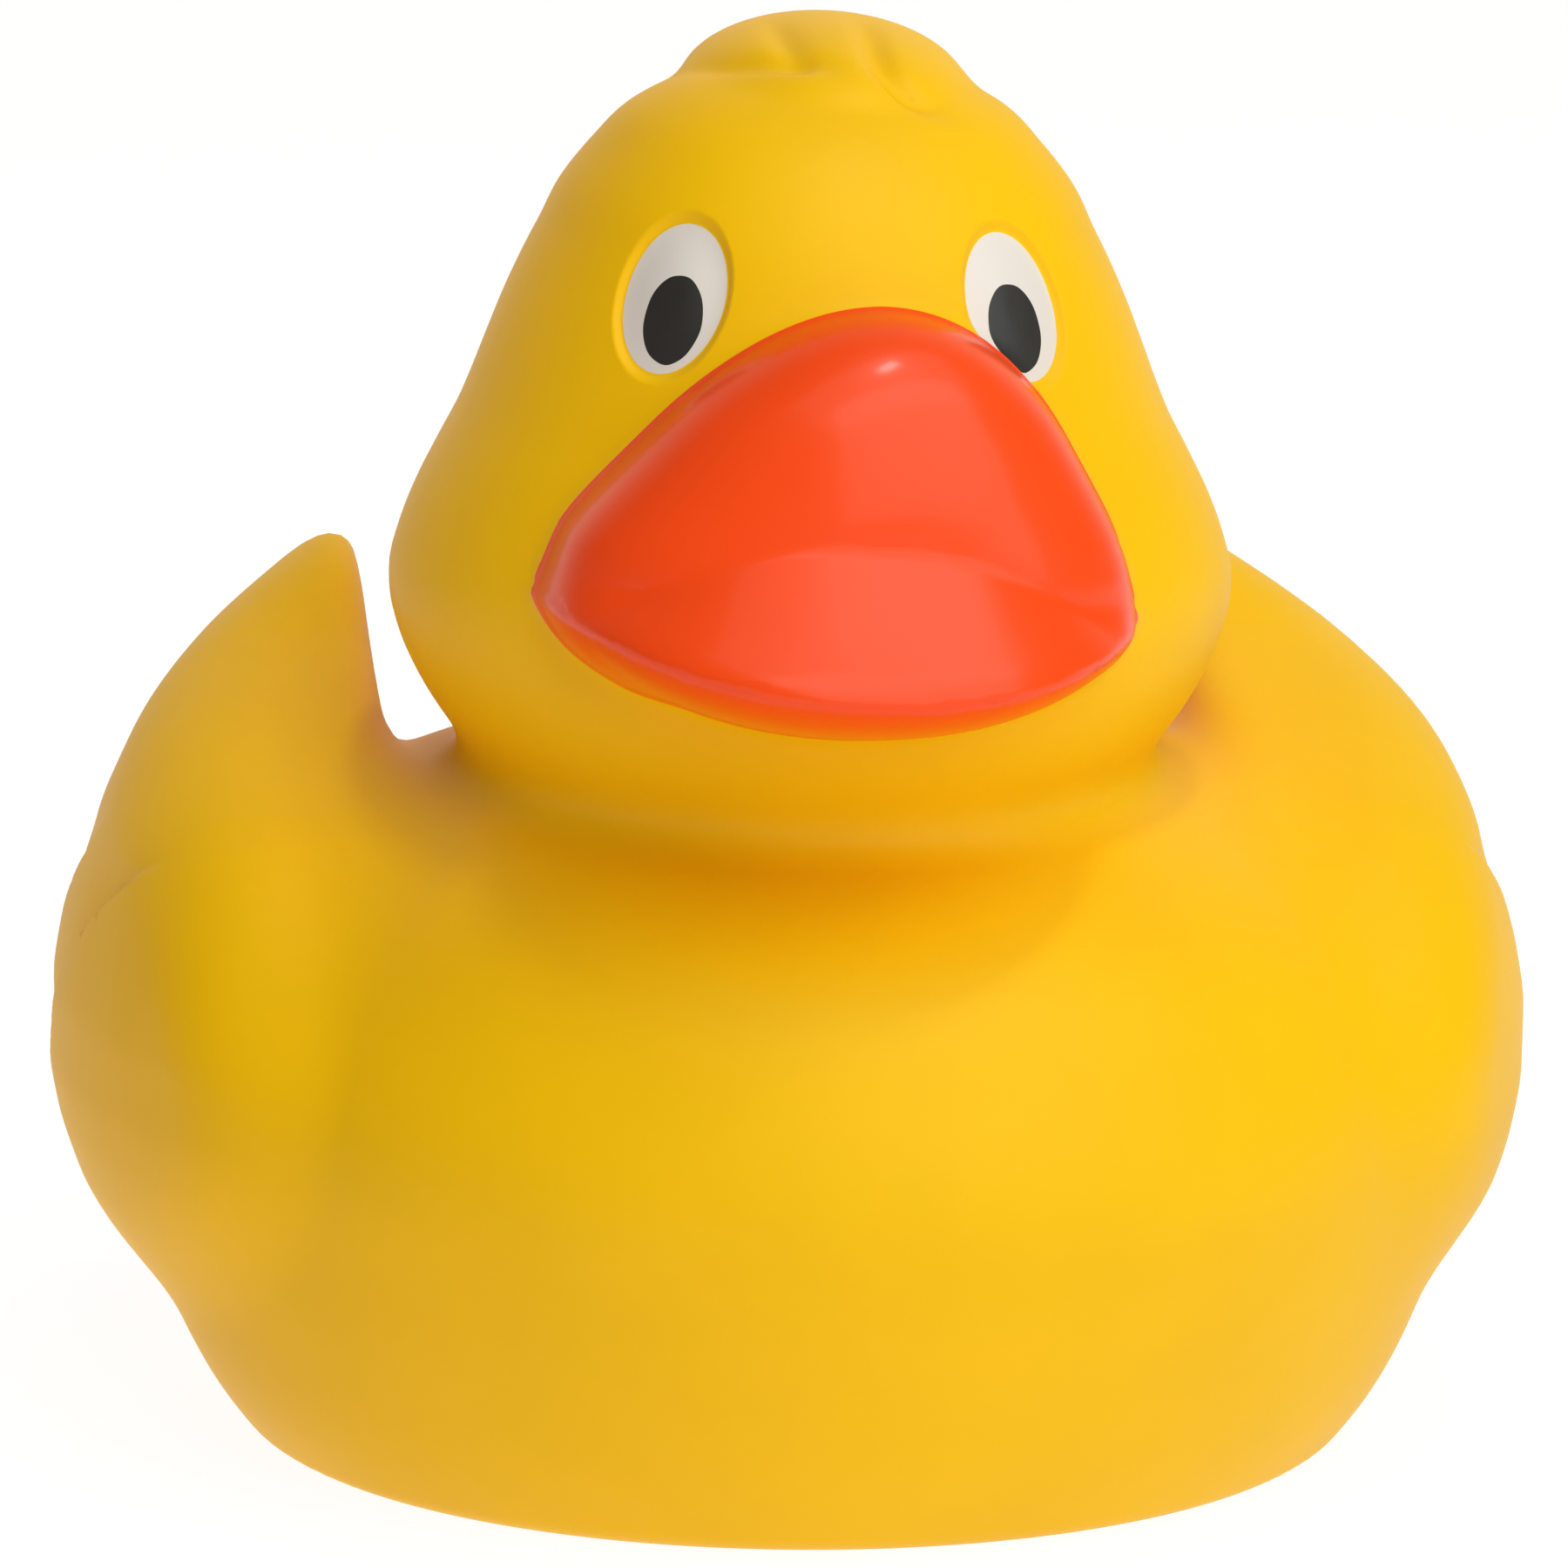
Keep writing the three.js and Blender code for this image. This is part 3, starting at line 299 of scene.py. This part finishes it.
def surface(f, h, lo, hi):
    K = 8
    n = [int(math.ceil((b - a) / h / K)) for a, b in zip(lo, hi)]
    F = np.full([m * K + 1 for m in n], 99.0, np.float32)
    bi = np.stack(np.meshgrid(*[np.arange(m) for m in n], indexing="ij"), -1).reshape(-1, 3)
    centre = np.array(lo) + (bi + 0.5) * K * h
    c = evaluate(f, centre)
    for i in range(3):
        pass
    far = np.abs(c) > h * K * 1.35 + 1.0
    for (i, j, k), v in zip(bi[far & (c < 0)], c[far & (c < 0)]):
        F[i * K : i * K + K + 1, j * K : j * K + K + 1, k * K : k * K + K + 1] = v
    near = bi[~far]
    off = np.stack(np.meshgrid(*[np.arange(K + 1)] * 3, indexing="ij"), -1).reshape(-1, 3)
    idx = np.unique((near[:, None, :] * K + off[None]).reshape(-1, 3) @ np.array([F.shape[1] * F.shape[2], F.shape[2], 1]))
    ijk = np.stack(np.unravel_index(idx, F.shape), -1)
    F.reshape(-1)[idx] = evaluate(f, np.array(lo) + ijk * h)
    inside = F < 0
    corners = np.array([(a, b, c) for a in (0, 1) for b in (0, 1) for c in (0, 1)])
    sh = tuple(s - 1 for s in F.shape)
    count = np.zeros(sh, np.int8)
    for a, b, c in corners:
        count += inside[a : a + sh[0], b : b + sh[1], c : c + sh[2]]
    cells = np.argwhere((count > 0) & (count < 8))
    vals = np.stack([F[cells[:, 0] + a, cells[:, 1] + b, cells[:, 2] + c] for a, b, c in corners], -1)
    acc, num = np.zeros((len(cells), 3)), np.zeros(len(cells))
    for a in range(8):
        for b in range(a + 1, 8):
            if np.abs(corners[a] - corners[b]).sum() != 1:
                continue
            va, vb = vals[:, a], vals[:, b]
            m = (va < 0) != (vb < 0)
            t = np.where(m, va / np.where(m, va - vb, 1), 0)
            acc[m] += corners[a] + t[m, None] * (corners[b] - corners[a])
            num[m] += 1
    pos = np.array(lo) + (cells + acc / num[:, None]) * h
    ids = np.full(sh, -1, np.int64)
    ids[tuple(cells.T)] = np.arange(len(cells))
    quads = []
    for ax in range(3):
        u, v = (ax + 1) % 3, (ax + 2) % 3
        a = [slice(1, -1)] * 3
        b = [slice(1, -1)] * 3
        b[ax] = slice(2, None)
        e = np.argwhere(inside[tuple(a)] != inside[tuple(b)]) + 1
        first = inside[tuple(e.T)]
        du, dv = np.eye(3, dtype=int)[u], np.eye(3, dtype=int)[v]
        q = np.stack([ids[tuple((e - i * du - j * dv).T)] for i, j in ((1, 1), (0, 1), (0, 0), (1, 0))], -1)
        q[~first] = q[~first][:, ::-1]
        quads.append(q)
    q = np.concatenate(quads)
    return pos, q


def gradient(f, p, e=0.03):
    return np.stack([(evaluate(f, p + e * d) - evaluate(f, p - e * d)) / (2 * e) for d in np.eye(3)], -1)


def settle(f, p, limit, rounds=3):
    for _ in range(rounds):
        g = gradient(f, p)
        g2 = np.maximum((g * g).sum(1), 0.3)
        t = np.clip(evaluate(f, p) / g2, -limit, limit)
        p = p - t[:, None] * g
    return p


def triangles(pos, q):
    a, b, c, d = q.T
    ac = ((pos[a] - pos[c]) ** 2).sum(1)
    bd = ((pos[b] - pos[d]) ** 2).sum(1)
    s = ac < bd
    return np.concatenate([np.stack([a, b, c], -1)[s], np.stack([a, c, d], -1)[s], np.stack([a, b, d], -1)[~s], np.stack([b, c, d], -1)[~s]])


def refine(pos, tri, near, f, limit):
    """Halves the edges whose middle is near, and draws the new points onto the surface."""
    e = np.sort(np.concatenate([tri[:, [0, 1]], tri[:, [1, 2]], tri[:, [2, 0]]]), 1)
    uniq, inv = np.unique(e, axis=0, return_inverse=True)
    inv = inv.reshape(-1).reshape(3, -1).T
    mid = (pos[uniq[:, 0]] + pos[uniq[:, 1]]) / 2
    mark = evaluate(near, mid) < 0
    new = np.full(len(uniq), -1)
    new[mark] = len(pos) + np.arange(mark.sum())
    pos = np.concatenate([pos, settle(f, mid[mark], limit, 3)])
    m = mark[inv]
    n = m.sum(1)
    out = [tri[n == 0]]
    t, k = tri[n == 3], new[inv[n == 3]]
    out += [np.stack([t[:, 0], k[:, 0], k[:, 2]], -1), np.stack([k[:, 0], t[:, 1], k[:, 1]], -1), np.stack([k[:, 2], k[:, 1], t[:, 2]], -1), k]
    for shift in range(3):
        a, b, c = shift, (shift + 1) % 3, (shift + 2) % 3
        one = (n == 1) & m[:, a]
        t, k = tri[one], new[inv[one]]
        out += [np.stack([t[:, a], k[:, a], t[:, c]], -1), np.stack([k[:, a], t[:, b], t[:, c]], -1)]
        two = (n == 2) & ~m[:, a]
        t, k = tri[two], new[inv[two]]
        out += [np.stack([t[:, c], k[:, c], k[:, b]], -1), np.stack([t[:, a], t[:, b], k[:, b]], -1), np.stack([t[:, a], k[:, b], k[:, c]], -1)]
    return pos, np.concatenate(out)


def cut(pos, tri, tag, paint, f):
    """Cuts the triangles along paint == 0, so that a colour ends on an edge, and tags those where it is negative."""
    val = evaluate(paint, pos)
    val = np.where(np.abs(val) < 1e-5, 1e-5, val)
    neg = val < 0
    n = neg[tri].sum(1)
    mixed = (n == 1) | (n == 2)
    keep, t, told = tri[~mixed], tri[mixed], tag[mixed]
    ktag = tag[~mixed].copy()
    kneg = neg[keep[:, 0]]
    # turn each mixed triangle so that its odd corner comes first
    odd = np.where(neg[t].sum(1)[:, None] == 1, neg[t], ~neg[t])
    r = odd.argmax(1)
    t = np.stack([t[np.arange(len(t)), (r + i) % 3] for i in range(3)], -1)
    e = np.concatenate([t[:, [0, 1]], t[:, [0, 2]]])
    key = np.sort(e, 1)
    uniq, inv = np.unique(key, axis=0, return_inverse=True)
    inv = inv.reshape(-1)
    a, b = pos[uniq[:, 0]], pos[uniq[:, 1]]
    va, vb = val[uniq[:, 0]].copy(), val[uniq[:, 1]].copy()
    for _ in range(4):
        s = np.clip(va / (va - vb), 0.03, 0.97)
        m = a + s[:, None] * (b - a)
        vm = evaluate(paint, m)
        low = (vm < 0) == (va < 0)
        a, va = np.where(low[:, None], m, a), np.where(low, vm, va)
        b, vb = np.where(low[:, None], b, m), np.where(low, vb, vm)
        same = np.abs(va - vb) < 1e-9
        vb = np.where(same, va - 1e-6, vb)
    m = settle(f, m, 0.05, 1)
    i01, i02 = inv[: len(t)] + len(pos), inv[len(t) :] + len(pos)
    tip = np.stack([t[:, 0], i01, i02], -1)
    r1 = np.stack([i01, t[:, 1], t[:, 2]], -1)
    r2 = np.stack([i01, t[:, 2], i02], -1)
    tneg = neg[t[:, 0]]
    tri = np.concatenate([keep, tip, r1, r2])
    side = np.concatenate([kneg, tneg, ~tneg, ~tneg])
    tag = np.concatenate([ktag, told, told, told])
    return np.concatenate([pos, m]), tri, tag, side


LO, HI = (-42.0, -44.0, 1.0), (42.0, 55.0, 82.0)
# the middle of the box in plan comes from this skin's own reach, as the imported shell is centred
probe, _ = surface(skin, 2.0, LO, HI)
probe = settle(skin, probe, 1.0, 2)
MID[0], MID[1] = ((probe.min(0) + probe.max(0)) / 2)[:2]
pos, quads = surface(skin, CELL, LO, HI)
pos = settle(skin, pos, 0.3 * CELL, 3)
tri = triangles(pos, quads)


# ------------------------------------------------------------------ paint and fine places
def is_bill(x, y, z):
    d = bill(x, y, z) - without_bill(x, y, z)
    return np.where((y < -8) & (z > 38), d, 5.0)


def wobble(u, v):
    a = np.arctan2(v, u)
    return 0.006 * np.sin(5 * a + 1.0) + 0.004 * np.sin(9 * a + 0.4)


def is_white(x, y, z):
    u, v, w = eye_uvw(x, y, z)
    r = np.sqrt((u / (EYE["a"] * 1.0)) ** 2 + (v / (EYE["b"] * 1.0)) ** 2) - 1
    return np.where(np.abs(w) < 5, r, 5.0)



def is_pupil(x, y, z):
    u, v, w = eye_uvw(x, y, z)
    U, V = (u - PUPIL["u"]) / PUPIL["a"], (v - PUPIL["v"]) / PUPIL["b"]
    r = np.sqrt(U * U + V * V) - 1 + wobble(U, V)
    return np.where(np.abs(w) < 5, r, 5.0)


def eye_zone(x, y, z):
    u, v, w = eye_uvw(x, y, z)
    r = np.sqrt((u / EYE["a"]) ** 2 + (v / EYE["b"]) ** 2)
    U, V = (u - PUPIL["u"]) / PUPIL["a"], (v - PUPIL["v"]) / PUPIL["b"]
    return np.where(np.abs(w) < 5, np.minimum(np.abs(r - 1.08) - 0.2, np.abs(np.sqrt(U * U + V * V) - 1) - 0.4), 5.0)


def fine_zone(x, y, z):
    """The rim and the creases of the bill, the eyes and the grooves of the tuft."""
    edge = np.abs(is_bill(x, y, z)) - 0.8
    crease = np.where((y < -20) & (z > 45), np.abs(bill_top(x, y, z) - shelf(x, y, z)) - 0.8, 5.0)
    tufts = np.where(z > 73, 0.25 - sum(groove(x, y, line, GROOVE_W * 1.3) for line in GROOVE_LINES), 5.0)
    u, v, w = eye_uvw(x, y, z)
    r = np.sqrt((u / EYE["a"]) ** 2 + (v / EYE["b"]) ** 2) - 1.35
    t = np.min([np.abs(y - feather(z) - row * (1 + 0.02 * (z - 25))) - 0.7 for row in FEATHER_ROWS], axis=0)
    feathers = np.where((np.abs(x) > 28) & (z > 9) & (z < 37), t, 5.0)
    return np.min([edge, crease, tufts, np.where(np.abs(w) < 5, r, 5.0), feathers], axis=0)


pos, tri = refine(pos, tri, fine_zone, skin, 0.2)
pos, tri = refine(pos, tri, eye_zone, skin, 0.1)
print("triangles", len(tri))

tag = np.zeros(len(tri), int)
for number, paint in ((2, is_white), (3, is_pupil), (1, is_bill)):
    pos, tri, tag, side = cut(pos, tri, tag, paint, skin)
    tag[side] = number
nrm = gradient(skin, pos, 0.04)
nrm /= np.linalg.norm(nrm, axis=1, keepdims=True) + 1e-12

lo, hi = pos.min(0), pos.max(0)
SHIFT = np.array([(lo[0] + hi[0]) / 2, (lo[1] + hi[1]) / 2, FLAT])
verts = (pos - SHIFT) / 1000.0


# ------------------------------------------------------------------ materials
def srgb(r, g, b):
    return tuple((c / 255 / 12.92 if c / 255 <= 0.04045 else ((c / 255 + 0.055) / 1.055) ** 2.4) for c in (r, g, b)) + (1.0,)


def material(name, colour, rough, coat=0.0, coat_rough=0.1, spec=0.5, sss=0.0, mottle=0.0, grain=0.0, grain_scale=2500.0, other=None):
    """Moulded plastic: a colour with a soft mottle, a little uneven gloss and a fine surface grain."""
    m = bpy.data.materials.new(name)
    m.use_nodes = True
    t = m.node_tree
    p = t.nodes["Principled BSDF"]
    p.inputs["Base Color"].default_value = colour
    p.inputs["Roughness"].default_value = rough
    p.inputs["Specular IOR Level"].default_value = spec
    p.inputs["Coat Weight"].default_value = coat
    p.inputs["Coat Roughness"].default_value = coat_rough
    if sss:
        p.inputs["Subsurface Weight"].default_value = sss
        p.inputs["Subsurface Radius"].default_value = (1.0, 0.45, 0.08)
        p.inputs["Subsurface Scale"].default_value = 0.0025
    where = t.nodes.new("ShaderNodeTexCoord").outputs["Object"]

    def noise(scale, detail=3.0):
        n = t.nodes.new("ShaderNodeTexNoise")
        n.inputs["Scale"].default_value = scale
        n.inputs["Detail"].default_value = detail
        t.links.new(where, n.inputs["Vector"])
        return n.outputs["Fac"]

    if mottle:
        ramp = t.nodes.new("ShaderNodeValToRGB")
        ramp.color_ramp.elements[0].position, ramp.color_ramp.elements[1].position = 0.3, 0.7
        ramp.color_ramp.elements[0].color = tuple(c * (1 - mottle) for c in colour[:3]) + (1,)
        ramp.color_ramp.elements[1].color = tuple(min(c * (1 + mottle), 1) for c in colour[:3]) + (1,)
        t.links.new(noise(90.0), ramp.inputs["Fac"])
        out = ramp.outputs["Color"]
        # below the lip the colour is mixed towards the other colour: partly thin paint, partly a painted reflection
        # of the yellow chest
        if other:
            fade = t.nodes.new("ShaderNodeAttribute")
            fade.attribute_name = "thin_paint_and_painted_bounce"
            mix = t.nodes.new("ShaderNodeMix")
            mix.data_type = "RGBA"
            mix.inputs[7].default_value = other
            t.links.new(fade.outputs["Fac"], mix.inputs[0])
            t.links.new(out, mix.inputs[6])
            out = mix.outputs[2]
        t.links.new(out, p.inputs["Base Color"])
        r = t.nodes.new("ShaderNodeMapRange")
        r.inputs["To Min"].default_value, r.inputs["To Max"].default_value = rough - 0.04, rough + 0.04
        t.links.new(noise(160.0), r.inputs["Value"])
        t.links.new(r.outputs["Result"], p.inputs["Roughness"])
    if grain:
        bump = t.nodes.new("ShaderNodeBump")
        bump.inputs["Strength"].default_value = grain
        bump.inputs["Distance"].default_value = 0.00004
        t.links.new(noise(grain_scale, 2.0), bump.inputs["Height"])
        t.links.new(bump.outputs["Normal"], p.inputs["Normal"])
    return m


vinyl = material("yellow_vinyl", srgb(246, 185, 2), 0.48, spec=0.14, mottle=0.025, grain=0.25)
# the second colour is the underlip's yellow-orange: partly thin paint, partly a painted reflection of the yellow
# chest
orange = material("bill_paint", srgb(250, 72, 17), 0.36, coat=0.24, coat_rough=0.15, spec=0.16, mottle=0.02, other=srgb(244, 150, 10))
white = material("eye_white", srgb(226, 212, 203), 0.4, mottle=0.015, grain=0.15)
black = material("pupil", srgb(38, 33, 29), 0.5, mottle=0.05, grain=0.15)
plastic = material("squeaker_plastic", srgb(226, 224, 212), 0.5, mottle=0.02, grain=0.2)


def mesh_object(name, verts, faces, mats, tags=None, normals=None):
    me = bpy.data.meshes.new(name)
    me.vertices.add(len(verts))
    me.vertices.foreach_set("co", np.asarray(verts, np.float32).ravel())
    me.loops.add(len(faces) * 3)
    me.loops.foreach_set("vertex_index", np.asarray(faces, np.int32).ravel())
    me.polygons.add(len(faces))
    me.polygons.foreach_set("loop_start", np.arange(0, len(faces) * 3, 3, dtype=np.int32))
    for m in mats:
        me.materials.append(m)
    if tags is not None:
        me.polygons.foreach_set("material_index", np.asarray(tags, np.int32))
    me.update(calc_edges=True)
    me.validate()
    me.shade_smooth()
    if normals is not None:
        me.normals_split_custom_set_from_vertices([tuple(n) for n in normals])
    ob = bpy.data.objects.new(name, me)
    bpy.context.scene.collection.objects.link(ob)
    return ob


duck = mesh_object("duck_skin", verts, tri, [vinyl, orange, white, black], tag, nrm)
# the paint thins out to the yellow below the lip; that yellowing is also a painted reflection of the yellow chest
X, Z = head_frame(pos[:, 0], pos[:, 2])
below = SHELF["z"] + SHELF["rise"] * (X / 15) ** 2 - 0.4 - Z
underlip_yellowing = duck.data.attributes.new("thin_paint_and_painted_bounce", "FLOAT", "POINT")
underlip_yellowing.data.foreach_set("value", (0.75 * step(0.0, 4.4, below)).astype(np.float32))
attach(duck, "root")
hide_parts("duck_shell")

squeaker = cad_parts["squeaker"]
squeaker.data.materials.clear()
squeaker.data.materials.append(plastic)

# ------------------------------------------------------------------ floor, light, camera
bpy.ops.mesh.primitive_plane_add(size=6.0, location=(0, 0, 0))
floor = bpy.context.object
floor.name = "floor"
floor_mat = material("floor", (0.12, 0.12, 0.12, 1), 0.75, spec=0.1)
glow = floor_mat.node_tree.nodes["Principled BSDF"]
glow.inputs["Emission Color"].default_value = (1, 1, 1, 1)
glow.inputs["Emission Strength"].default_value = 0.92
floor.data.materials.append(floor_mat)

# a studio that is white behind and above the duck and dim in front of it
world = bpy.data.worlds.new("studio")
bpy.context.scene.world = world
world.use_nodes = True
wt = world.node_tree
back = wt.nodes["Background"]
coord = wt.nodes.new("ShaderNodeTexCoord")
split = wt.nodes.new("ShaderNodeSeparateXYZ")
ramp = wt.nodes.new("ShaderNodeValToRGB")
ramp.color_ramp.elements[0].position, ramp.color_ramp.elements[0].color = 0.68, (0.08, 0.075, 0.07, 1)
ramp.color_ramp.elements[1].position, ramp.color_ramp.elements[1].color = 0.95, (1, 0.87, 0.72, 1)
half = wt.nodes.new("ShaderNodeMath")
half.operation = "MULTIPLY_ADD"
half.inputs[1].default_value, half.inputs[2].default_value = 0.5, 0.5
wt.links.new(coord.outputs["Generated"], split.inputs[0])
wt.links.new(split.outputs["Y"], half.inputs[0])
wt.links.new(half.outputs[0], ramp.inputs["Fac"])
wt.links.new(ramp.outputs["Color"], back.inputs["Color"])
back.inputs["Strength"].default_value = 1.15


def area(name, where, at, size, power, colour=(1, 1, 1)):
    l = bpy.data.lights.new(name, "AREA")
    l.shape = "RECTANGLE"
    l.size, l.size_y = size
    l.energy = power
    l.color = colour
    o = bpy.data.objects.new(name, l)
    o.location = where
    o.rotation_euler = (Vector(at) - Vector(where)).to_track_quat("-Z", "Y").to_euler()
    bpy.context.scene.collection.objects.link(o)
    return o


area("key", (0.32, -0.60, 0.50), (0, 0, 0.035), (0.95, 0.95), 5.014, (1.0, 1.15, 1.12))
area("overhead", (0.12, -0.22, 0.68), (0, -0.02, 0.045), (0.9, 0.5), 1.393, (1.0, 1.10, 1.08))
area("glint", (0.09, -0.10, 0.66), (0, -0.03, 0.05), (0.12, 0.05), 0.55)

AZ, EL, ROLL, DIST, SCALE = math.radians(-8.0), math.radians(12.0), math.radians(0.9), 480.0, 21.6
d = Vector((math.sin(AZ) * math.cos(EL), -math.cos(AZ) * math.cos(EL), math.sin(EL)))
r = Vector((math.cos(AZ), math.sin(AZ), 0))
u = Vector((-math.sin(AZ) * math.sin(EL), math.cos(AZ) * math.sin(EL), math.cos(EL)))
aim = Vector((0.0, 0.0, 37.4)) - Vector(SHIFT) - r * (12.0 / SCALE)
right = r * math.cos(ROLL) + u * math.sin(ROLL)
above = u * math.cos(ROLL) - r * math.sin(ROLL)
cam_data = bpy.data.cameras.new("camera")
cam_data.lens = 36.0 * SCALE * DIST / 1800.0
cam_data.sensor_width = 36.0
cam_data.clip_start, cam_data.clip_end = 0.01, 20
cam = bpy.data.objects.new("camera", cam_data)
where = (aim + d * DIST) / 1000.0
cam.matrix_world = Matrix(((right.x, above.x, d.x, where.x), (right.y, above.y, d.y, where.y), (right.z, above.z, d.z, where.z), (0, 0, 0, 1)))
bpy.context.scene.collection.objects.link(cam)
bpy.context.scene.camera = cam
bpy.context.scene.view_settings.view_transform = "Standard"
